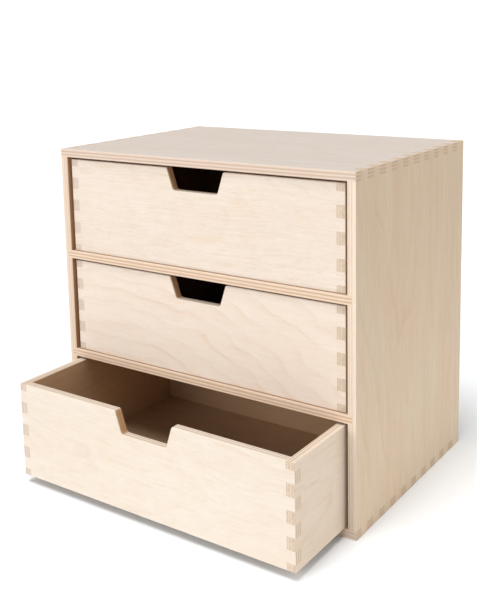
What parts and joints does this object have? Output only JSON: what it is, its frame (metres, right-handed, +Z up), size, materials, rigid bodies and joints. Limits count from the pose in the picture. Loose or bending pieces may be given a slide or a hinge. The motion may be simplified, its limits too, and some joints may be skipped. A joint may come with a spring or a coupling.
{
  "type": "desktop drawer unit",
  "caption": "Small free-standing desktop drawer unit in finger-jointed birch plywood, with stacked open-topped drawers pulled by a trapezoid notch in each front.",
  "frame": {"origin": "middle of the underside of the carcass, on the surface it stands on", "axes": "+Z up, +X to the right as seen from the front, +Y to the back, so the drawers pull out towards -Y"},
  "size_m": [0.26, 0.2428, 0.25],
  "materials": {
    "top_panel": "fine-sanded, unlacquered birch plywood",
    "bottom_panel": "fine-sanded, unlacquered birch plywood",
    "left_side_panel": "fine-sanded, unlacquered birch plywood",
    "right_side_panel": "fine-sanded, unlacquered birch plywood",
    "upper_shelf": "fine-sanded, unlacquered birch plywood",
    "lower_shelf": "fine-sanded, unlacquered birch plywood",
    "back_panel": "fine-sanded, unlacquered birch plywood",
    "bottom_drawer_front": "fine-sanded, unlacquered birch plywood",
    "bottom_drawer_back": "fine-sanded, unlacquered birch plywood",
    "bottom_drawer_left_side": "fine-sanded, unlacquered birch plywood",
    "bottom_drawer_right_side": "fine-sanded, unlacquered birch plywood",
    "bottom_drawer_base": "fine-sanded, unlacquered birch plywood",
    "middle_drawer_front": "fine-sanded, unlacquered birch plywood",
    "middle_drawer_back": "fine-sanded, unlacquered birch plywood",
    "middle_drawer_left_side": "fine-sanded, unlacquered birch plywood",
    "middle_drawer_right_side": "fine-sanded, unlacquered birch plywood",
    "middle_drawer_base": "fine-sanded, unlacquered birch plywood",
    "top_drawer_front": "fine-sanded, unlacquered birch plywood",
    "top_drawer_back": "fine-sanded, unlacquered birch plywood",
    "top_drawer_left_side": "fine-sanded, unlacquered birch plywood",
    "top_drawer_right_side": "fine-sanded, unlacquered birch plywood",
    "top_drawer_base": "fine-sanded, unlacquered birch plywood"
  },
  "bodies": {
    "carcass": {"top_panel": "top_panel", "bottom_panel": "bottom_panel", "left_side_panel": "left_side_panel", "right_side_panel": "right_side_panel", "upper_shelf": "upper_shelf", "lower_shelf": "lower_shelf", "back_panel": "back_panel"},
    "bottom_drawer": {"bottom_drawer_front": "bottom_drawer_front", "bottom_drawer_back": "bottom_drawer_back", "bottom_drawer_left_side": "bottom_drawer_left_side", "bottom_drawer_right_side": "bottom_drawer_right_side", "bottom_drawer_base": "bottom_drawer_base"},
    "middle_drawer": {"middle_drawer_front": "middle_drawer_front", "middle_drawer_back": "middle_drawer_back", "middle_drawer_left_side": "middle_drawer_left_side", "middle_drawer_right_side": "middle_drawer_right_side", "middle_drawer_base": "middle_drawer_base"},
    "top_drawer": {"top_drawer_front": "top_drawer_front", "top_drawer_back": "top_drawer_back", "top_drawer_left_side": "top_drawer_left_side", "top_drawer_right_side": "top_drawer_right_side", "top_drawer_base": "top_drawer_base"}
  },
  "joints": [
    {"name": "bottom_drawer_slide", "type": "slide", "parent": "carcass", "child": "bottom_drawer", "axis": [0, -1, 0], "range_m": [-0.065, 0.085]},
    {"name": "middle_drawer_slide", "type": "slide", "parent": "carcass", "child": "middle_drawer", "axis": [0, -1, 0], "range_m": [0, 0.15]},
    {"name": "top_drawer_slide", "type": "slide", "parent": "carcass", "child": "top_drawer", "axis": [0, -1, 0], "range_m": [0, 0.15]}
  ]
}
